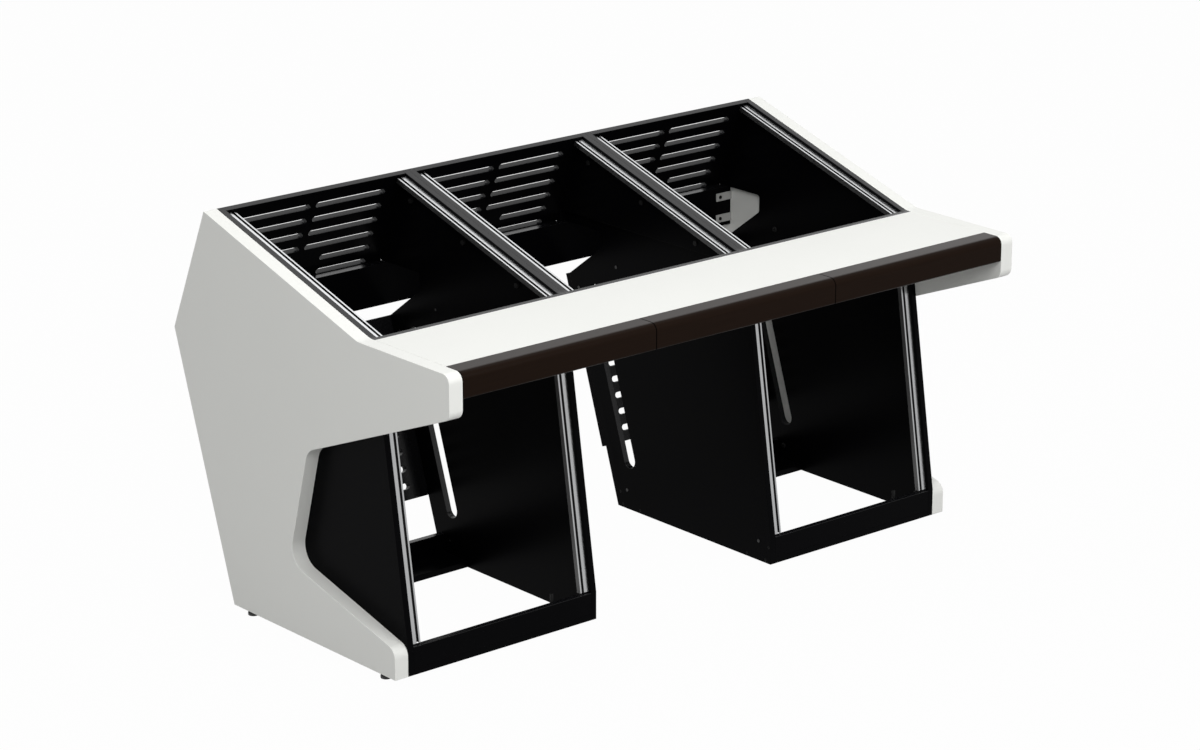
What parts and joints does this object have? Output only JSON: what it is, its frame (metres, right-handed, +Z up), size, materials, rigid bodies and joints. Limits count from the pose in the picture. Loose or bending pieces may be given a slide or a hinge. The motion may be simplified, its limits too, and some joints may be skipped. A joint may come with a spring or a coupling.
{
  "type": "studio desk",
  "caption": "Studio desk with sloping rack bays behind a worktop with an armrest, rack pedestals on both sides of an open knee space, and white side panels.",
  "frame": {"origin": "middle of the desk's footprint box, on the floor under the feet", "axes": "+X to the sitter's right along the desk's width, +Y away from the sitter, +Z up"},
  "size_m": [1.662, 1, 0.919],
  "materials": {
    "white_board": "white satin coated board",
    "black_board": "black satin coated board",
    "armrest_brown": "dark brown stained wood, satin",
    "rail_aluminium": "satin anodised",
    "bracket_grey": "light grey coated",
    "steel_screw": "zinc plated",
    "dark_screw": "blackened",
    "black_plastic": "matte",
    "foot_black": "matte"
  },
  "bodies": {
    "desk": {"side_panel_left": "white_board", "side_panel_right": "white_board", "pedestal_side_1": "black_board", "pedestal_side_2": "black_board", "pedestal_side_3": "black_board", "pedestal_side_4": "black_board", "centre_side_left": "black_board", "centre_side_right": "black_board", "bay_front_left": "black_board", "bay_front_middle": "black_board", "bay_front_right": "black_board", "back_panel_left": "black_board", "back_panel_middle": "black_board", "back_panel_right": "black_board", "rear_beam": "black_board", "beam_brackets": "bracket_grey", "bracket_screws": "dark_screw", "worktop": "white_board", "front_apron": "black_board", "armrest_left": "armrest_brown", "armrest_middle": "armrest_brown", "armrest_right": "armrest_brown", "armrest_screws": "steel_screw", "bay_rail_1": "rail_aluminium", "bay_rail_2": "rail_aluminium", "bay_rail_3": "rail_aluminium", "bay_rail_4": "rail_aluminium", "bay_rail_5": "rail_aluminium", "bay_rail_6": "rail_aluminium", "pedestal_rail_1": "rail_aluminium", "pedestal_rail_2": "rail_aluminium", "pedestal_rail_3": "rail_aluminium", "pedestal_rail_4": "rail_aluminium", "bay_rail_screws": "dark_screw", "pedestal_rail_screws": "dark_screw", "plinth_left": "black_board", "plinth_right": "black_board", "back_rail_left": "black_board", "back_rail_right": "black_board", "front_floor_left": "black_board", "front_floor_right": "black_board", "rear_floor_left": "black_board", "rear_floor_right": "black_board", "rear_cover_left": "black_board", "rear_cover_right": "black_board", "cover_screws": "steel_screw", "frame_screws": "dark_screw", "panel_bolts": "dark_screw", "hole_plugs": "black_plastic", "bay_bolts": "dark_screw", "plinth_posts": "dark_screw", "foot_sleeves": "steel_screw"},
    "foot_1_body": {"foot_1": "foot_black"},
    "foot_2_body": {"foot_2": "foot_black"},
    "foot_3_body": {"foot_3": "foot_black"},
    "foot_4_body": {"foot_4": "foot_black"}
  },
  "joints": [
    {"name": "foot_1_screw_down", "type": "slide", "parent": "desk", "child": "foot_1_body", "axis": [0, 0, -1], "range_m": [0, 0.012]},
    {"name": "foot_2_screw_down", "type": "slide", "parent": "desk", "child": "foot_2_body", "axis": [0, 0, -1], "range_m": [0, 0.012]},
    {"name": "foot_3_screw_down", "type": "slide", "parent": "desk", "child": "foot_3_body", "axis": [0, 0, -1], "range_m": [0, 0.012]},
    {"name": "foot_4_screw_down", "type": "slide", "parent": "desk", "child": "foot_4_body", "axis": [0, 0, -1], "range_m": [0, 0.012]}
  ]
}
